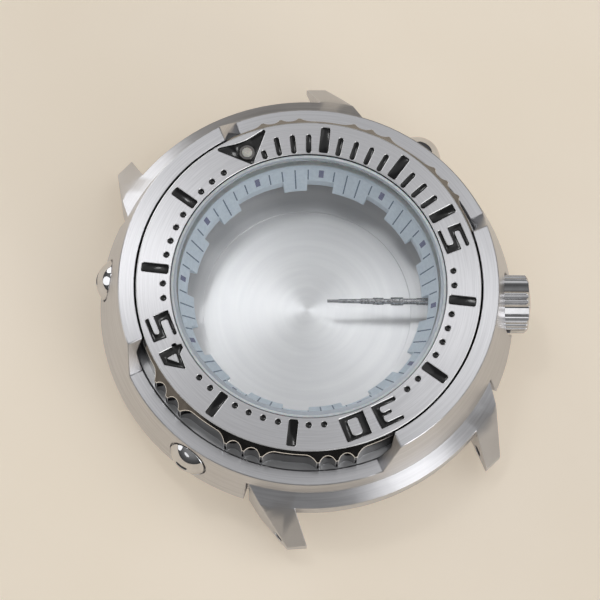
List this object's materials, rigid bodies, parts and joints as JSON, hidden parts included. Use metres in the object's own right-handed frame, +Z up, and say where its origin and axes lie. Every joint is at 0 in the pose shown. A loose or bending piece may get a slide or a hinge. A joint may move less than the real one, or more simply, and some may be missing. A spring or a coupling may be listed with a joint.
{
  "type": "watch case",
  "caption": "Empty steel diver's watch case with turning bezel, guard shroud, screwed crown and stem, crystal, chapter ring and screwed back.",
  "frame": {"origin": "centre of the case back's flat outer face, on which the case rests", "axes": "+Z up through the crystal, +Y towards 12 o'clock between the lugs, +X towards 3 o'clock"},
  "size_m": [0.0429, 0.045, 0.0129],
  "materials": {
    "brushed_case_steel": "brushed",
    "polished_steel": "polished",
    "spring_steel": "rolled",
    "black_lacquer": "gloss",
    "pale_pearl": "satin",
    "crystal_glass": "clear",
    "black_rubber": "matte",
    "pale_nylon": "satin",
    "pale_blue_ring": "matte"
  },
  "bodies": {
    "case": {"mid_case": "brushed_case_steel", "crystal": "crystal_glass", "crystal_gasket": "pale_nylon", "crystal_press_ring": "polished_steel", "chapter_ring": "pale_blue_ring", "bezel_gasket": "black_rubber", "bezel_click_spring": "spring_steel", "shroud": "brushed_case_steel", "shroud_screw_2h": "polished_steel", "shroud_screw_8h": "polished_steel", "shroud_screw_10h": "polished_steel", "crown_tube": "polished_steel", "crown_tube_gasket": "black_rubber"},
    "back_seal": {"case_back_gasket": "black_rubber"},
    "back": {"case_back": "brushed_case_steel"},
    "bezel": {"bezel": "brushed_case_steel", "bezel_inlays": "black_lacquer", "bezel_pip_cup": "polished_steel", "bezel_pip_pearl": "pale_pearl"},
    "stem": {"winding_stem": "spring_steel", "crown_plunger": "polished_steel"},
    "crown": {"crown": "polished_steel", "crown_gasket": "black_rubber", "crown_washer": "polished_steel", "crown_spring": "spring_steel"}
  },
  "joints": [
    {"name": "bezel_turn", "type": "hinge", "parent": "case", "child": "bezel", "pos_m": [0, 0, 0.011], "axis": [0, 0, 1], "continuous": true},
    {"name": "stem_turn", "type": "hinge", "parent": "case", "child": "stem", "pos_m": [0.01736, -0.00773, 0.0066], "axis": [0.9135, -0.4067, 0], "continuous": true},
    {"name": "crown_unscrew_slide", "type": "slide", "parent": "stem", "child": "crown", "axis": [0.9135, -0.4067, 0], "range_m": [0, 0.0019]},
    {"name": "back_unscrew_drop", "type": "slide", "parent": "case", "child": "back_seal", "axis": [0, 0, -1], "range_m": [0, 0.00175]},
    {"name": "back_unscrew_turn", "type": "hinge", "parent": "back_seal", "child": "back", "pos_m": [0, 0, 0.001], "axis": [0, 0, -1], "range_deg": [0, 1401]}
  ],
  "couplings": [
    {"joint": "back_unscrew_turn", "follows": "back_unscrew_drop", "rad_per_m": 13963}
  ]
}
